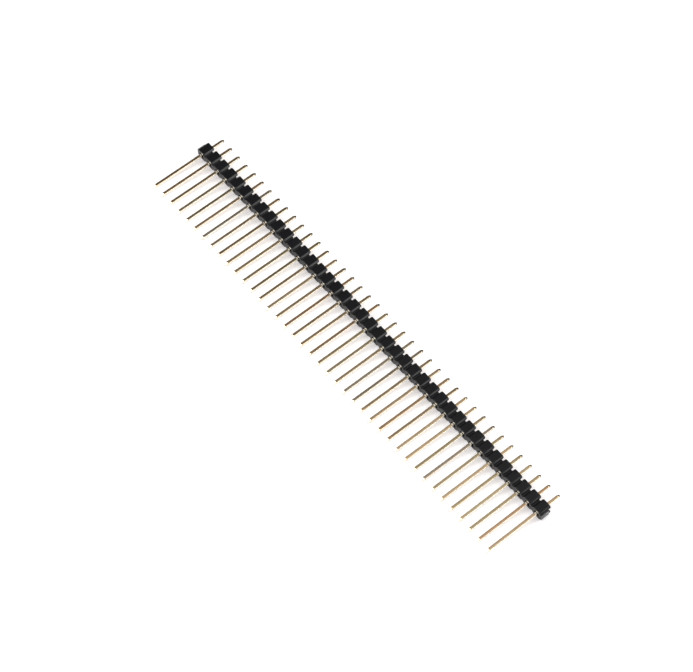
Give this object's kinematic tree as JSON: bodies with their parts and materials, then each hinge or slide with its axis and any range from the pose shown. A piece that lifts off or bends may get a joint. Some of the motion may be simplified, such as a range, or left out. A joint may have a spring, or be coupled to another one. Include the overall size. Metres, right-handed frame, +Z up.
{
  "type": "pin header strip",
  "caption": "Breakaway single-row pin header: square pins through a black moulded strip, with long mating posts on one side and short solder tails on the other.",
  "frame": {"origin": "under the middle of the strip's box, on the surface that it lies on", "axes": "+X along the row of pins, +Y towards the solder tails, -Y towards the tips of the mating posts, +Z up"},
  "size_m": [0.1016, 0.017, 0.0027],
  "materials": {
    "housing_plastic": "black moulded thermoplastic with a soft gloss",
    "plated_pin": "drawn square brass wire with a thin, pale gold plating"
  },
  "bodies": {
    "root": {"housing": "housing_plastic", "pin_01": "plated_pin", "pin_02": "plated_pin", "pin_03": "plated_pin", "pin_04": "plated_pin", "pin_05": "plated_pin", "pin_06": "plated_pin", "pin_07": "plated_pin", "pin_08": "plated_pin", "pin_09": "plated_pin", "pin_10": "plated_pin", "pin_11": "plated_pin", "pin_12": "plated_pin", "pin_13": "plated_pin", "pin_14": "plated_pin", "pin_15": "plated_pin", "pin_16": "plated_pin", "pin_17": "plated_pin", "pin_18": "plated_pin", "pin_19": "plated_pin", "pin_20": "plated_pin", "pin_21": "plated_pin", "pin_22": "plated_pin", "pin_23": "plated_pin", "pin_24": "plated_pin", "pin_25": "plated_pin", "pin_26": "plated_pin", "pin_27": "plated_pin", "pin_28": "plated_pin", "pin_29": "plated_pin", "pin_30": "plated_pin", "pin_31": "plated_pin", "pin_32": "plated_pin", "pin_33": "plated_pin", "pin_34": "plated_pin", "pin_35": "plated_pin", "pin_36": "plated_pin", "pin_37": "plated_pin", "pin_38": "plated_pin", "pin_39": "plated_pin", "pin_40": "plated_pin"}
  },
  "joints": []
}
